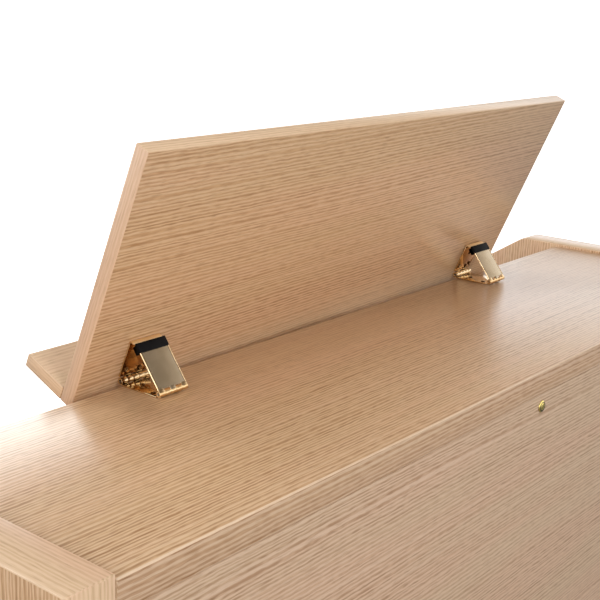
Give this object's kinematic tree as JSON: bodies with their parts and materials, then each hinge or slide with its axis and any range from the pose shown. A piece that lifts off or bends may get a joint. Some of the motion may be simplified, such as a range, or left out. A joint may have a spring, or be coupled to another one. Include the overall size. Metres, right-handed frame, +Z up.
{
  "type": "electronic organ console",
  "caption": "Electronic organ console in light oak with stacked manuals, a folding music desk on brass hinges, stop tabs, swell shoe and a flat pedalboard.",
  "frame": {"origin": "on the floor, midway between the ends and midway between the back and the pedalboard's heel", "axes": "+X towards the treble end, +Y from the player towards the back panel, +Z up"},
  "size_m": [1.4, 1.0226, 1.2818],
  "materials": {
    "light_oak": "satin lacquered oak veneer",
    "pedal_beech": "oiled hardwood",
    "ebony": "black stained hardwood",
    "ivory": "ivory key plastic",
    "brass": "polished brass plate",
    "steel": "zinc plated",
    "rubber": "black rubber",
    "black_plastic": "black plastic",
    "grille_cloth": "woven grille cloth",
    "circuit_board": "circuit board"
  },
  "bodies": {
    "console": {"top_panel": "light_oak", "back_panel": "light_oak", "treble_side": "light_oak", "bass_side": "light_oak", "bottom_board": "light_oak", "key_bed": "light_oak", "knee_panel": "light_oak", "key_slip": "light_oak", "upper_key_slip": "light_oak", "stop_rail": "light_oak", "treble_jamb": "light_oak", "bass_jamb": "light_oak", "pedalboard_frame": "light_oak", "lower_manual_chassis": "steel", "upper_manual_chassis": "steel", "power_supply": "steel", "swell_shoe_bracket": "steel", "treble_speaker": "black_plastic", "bass_speaker": "black_plastic", "amplifier": "black_plastic", "connector_plate": "black_plastic", "speaker_grille": "grille_cloth", "sound_board": "circuit_board", "back_panel_screw": "brass", "treble_hinge_base_leaf": "brass", "treble_hinge_pivot_pin": "steel", "treble_hinge_foot_pin": "steel", "bass_hinge_base_leaf": "brass", "bass_hinge_pivot_pin": "steel", "bass_hinge_foot_pin": "steel"},
    "lower_octave_1": {"lower_keys_octave_1": "ivory"},
    "lower_octave_2": {"lower_keys_octave_2": "ivory"},
    "lower_octave_3": {"lower_keys_octave_3": "ivory"},
    "lower_octave_4": {"lower_keys_octave_4": "ivory"},
    "lower_octave_5": {"lower_keys_octave_5": "ivory"},
    "lower_piston_row": {"lower_pistons": "ivory"},
    "upper_octave_1": {"upper_keys_octave_1": "ivory"},
    "upper_octave_2": {"upper_keys_octave_2": "ivory"},
    "upper_octave_3": {"upper_keys_octave_3": "ivory"},
    "upper_octave_4": {"upper_keys_octave_4": "ivory"},
    "upper_octave_5": {"upper_keys_octave_5": "ivory"},
    "upper_piston_row": {"upper_pistons": "ivory"},
    "pedal_tabs": {"pedal_stop_tabs": "ivory"},
    "great_tabs": {"great_stop_tabs": "ivory"},
    "swell_tabs": {"swell_stop_tabs": "ivory"},
    "knob": {"volume_knob": "black_plastic"},
    "button": {"power_button": "black_plastic"},
    "shoe": {"swell_shoe": "rubber"},
    "naturals_bass": {"pedal_naturals_bass": "pedal_beech"},
    "naturals_treble": {"pedal_naturals_treble": "pedal_beech"},
    "sharps_bass": {"pedal_sharps_bass": "ebony"},
    "sharps_treble": {"pedal_sharps_treble": "ebony"},
    "music_desk": {"music_desk_board": "light_oak", "music_desk_ledge": "light_oak", "treble_hinge_desk_leaf": "brass", "bass_hinge_desk_leaf": "brass"},
    "treble_stay": {"treble_hinge_stay": "brass", "treble_hinge_stay_cap": "rubber"},
    "bass_stay": {"bass_hinge_stay": "brass", "bass_hinge_stay_cap": "rubber"}
  },
  "joints": [
    {"name": "lower_octave_1_hinge", "type": "hinge", "parent": "console", "child": "lower_octave_1", "pos_m": [0, 0.1012, 0.821], "axis": [1, 0, 0], "range_deg": [0, 2.8], "stiffness_Nm_per_rad": 4, "springref_deg": -20.05},
    {"name": "lower_octave_2_hinge", "type": "hinge", "parent": "console", "child": "lower_octave_2", "pos_m": [0, 0.1012, 0.821], "axis": [1, 0, 0], "range_deg": [0, 2.8], "stiffness_Nm_per_rad": 4, "springref_deg": -20.05},
    {"name": "lower_octave_3_hinge", "type": "hinge", "parent": "console", "child": "lower_octave_3", "pos_m": [0, 0.1012, 0.821], "axis": [1, 0, 0], "range_deg": [0, 2.8], "stiffness_Nm_per_rad": 4, "springref_deg": -20.05},
    {"name": "lower_octave_4_hinge", "type": "hinge", "parent": "console", "child": "lower_octave_4", "pos_m": [0, 0.1012, 0.821], "axis": [1, 0, 0], "range_deg": [0, 2.8], "stiffness_Nm_per_rad": 4, "springref_deg": -20.05},
    {"name": "lower_octave_5_hinge", "type": "hinge", "parent": "console", "child": "lower_octave_5", "pos_m": [0, 0.1012, 0.821], "axis": [1, 0, 0], "range_deg": [0, 2.8], "stiffness_Nm_per_rad": 4, "springref_deg": -20.05},
    {"name": "upper_octave_1_hinge", "type": "hinge", "parent": "console", "child": "upper_octave_1", "pos_m": [0, 0.2062, 0.888], "axis": [1, 0, 0], "range_deg": [0, 2.8], "stiffness_Nm_per_rad": 4, "springref_deg": -20.05},
    {"name": "upper_octave_2_hinge", "type": "hinge", "parent": "console", "child": "upper_octave_2", "pos_m": [0, 0.2062, 0.888], "axis": [1, 0, 0], "range_deg": [0, 2.8], "stiffness_Nm_per_rad": 4, "springref_deg": -20.05},
    {"name": "upper_octave_3_hinge", "type": "hinge", "parent": "console", "child": "upper_octave_3", "pos_m": [0, 0.2062, 0.888], "axis": [1, 0, 0], "range_deg": [0, 2.8], "stiffness_Nm_per_rad": 4, "springref_deg": -20.05},
    {"name": "upper_octave_4_hinge", "type": "hinge", "parent": "console", "child": "upper_octave_4", "pos_m": [0, 0.2062, 0.888], "axis": [1, 0, 0], "range_deg": [0, 2.8], "stiffness_Nm_per_rad": 4, "springref_deg": -20.05},
    {"name": "upper_octave_5_hinge", "type": "hinge", "parent": "console", "child": "upper_octave_5", "pos_m": [0, 0.2062, 0.888], "axis": [1, 0, 0], "range_deg": [0, 2.8], "stiffness_Nm_per_rad": 4, "springref_deg": -20.05},
    {"name": "lower_pistons_slide", "type": "slide", "parent": "console", "child": "lower_piston_row", "axis": [0, 1, 0], "range_m": [0, 0.002], "stiffness_N_per_m": 600, "springref_m": -0.004},
    {"name": "upper_pistons_slide", "type": "slide", "parent": "console", "child": "upper_piston_row", "axis": [0, 1, 0], "range_m": [0, 0.002], "stiffness_N_per_m": 600, "springref_m": -0.004},
    {"name": "pedal_tabs_rock", "type": "hinge", "parent": "console", "child": "pedal_tabs", "pos_m": [0, 0.18298, 0.93422], "axis": [1, 0, 0], "range_deg": [0, 10]},
    {"name": "great_tabs_rock", "type": "hinge", "parent": "console", "child": "great_tabs", "pos_m": [0, 0.18298, 0.93422], "axis": [1, 0, 0], "range_deg": [0, 10]},
    {"name": "swell_tabs_rock", "type": "hinge", "parent": "console", "child": "swell_tabs", "pos_m": [0, 0.18298, 0.93422], "axis": [1, 0, 0], "range_deg": [0, 10]},
    {"name": "volume_knob_turn", "type": "hinge", "parent": "console", "child": "knob", "pos_m": [-0.591, -0.0513, 0.844], "axis": [0, 0, 1], "range_deg": [-150, 150]},
    {"name": "power_button_press", "type": "slide", "parent": "console", "child": "button", "axis": [0, 0, -1], "range_m": [0, 0.0025], "stiffness_N_per_m": 400, "springref_m": -0.003},
    {"name": "swell_shoe_tilt", "type": "hinge", "parent": "console", "child": "shoe", "pos_m": [0, 0.0287, 0.24], "axis": [1, 0, 0], "range_deg": [-12, 12]},
    {"name": "naturals_bass_hinge", "type": "hinge", "parent": "console", "child": "naturals_bass", "pos_m": [0, -0.4713, 0.078], "axis": [-1, 0, 0], "range_deg": [0, 0.85], "stiffness_Nm_per_rad": 100, "springref_deg": -34.38},
    {"name": "naturals_treble_hinge", "type": "hinge", "parent": "console", "child": "naturals_treble", "pos_m": [0, -0.4713, 0.078], "axis": [-1, 0, 0], "range_deg": [0, 0.85], "stiffness_Nm_per_rad": 100, "springref_deg": -34.38},
    {"name": "sharps_bass_hinge", "type": "hinge", "parent": "console", "child": "sharps_bass", "pos_m": [0, -0.4263, 0.051], "axis": [-1, 0, 0], "range_deg": [0, 0.85], "stiffness_Nm_per_rad": 100, "springref_deg": -34.38},
    {"name": "sharps_treble_hinge", "type": "hinge", "parent": "console", "child": "sharps_treble", "pos_m": [0, -0.4263, 0.051], "axis": [-1, 0, 0], "range_deg": [0, 0.85], "stiffness_Nm_per_rad": 100, "springref_deg": -34.38},
    {"name": "desk_fold", "type": "hinge", "parent": "console", "child": "music_desk", "pos_m": [0, 0.1927, 1.005], "axis": [-1, 0, 0], "range_deg": [0, 66.8]},
    {"name": "treble_stay_fold", "type": "hinge", "parent": "console", "child": "treble_stay", "pos_m": [0, 0.2527, 1.0048], "axis": [-1, 0, 0], "range_deg": [0, 127.6]},
    {"name": "bass_stay_fold", "type": "hinge", "parent": "console", "child": "bass_stay", "pos_m": [0, 0.2527, 1.0048], "axis": [-1, 0, 0], "range_deg": [0, 127.6]}
  ],
  "couplings": [
    {"joint": "treble_stay_fold", "follows": "desk_fold", "ratio": 1.9101},
    {"joint": "bass_stay_fold", "follows": "desk_fold", "ratio": 1.9101}
  ]
}
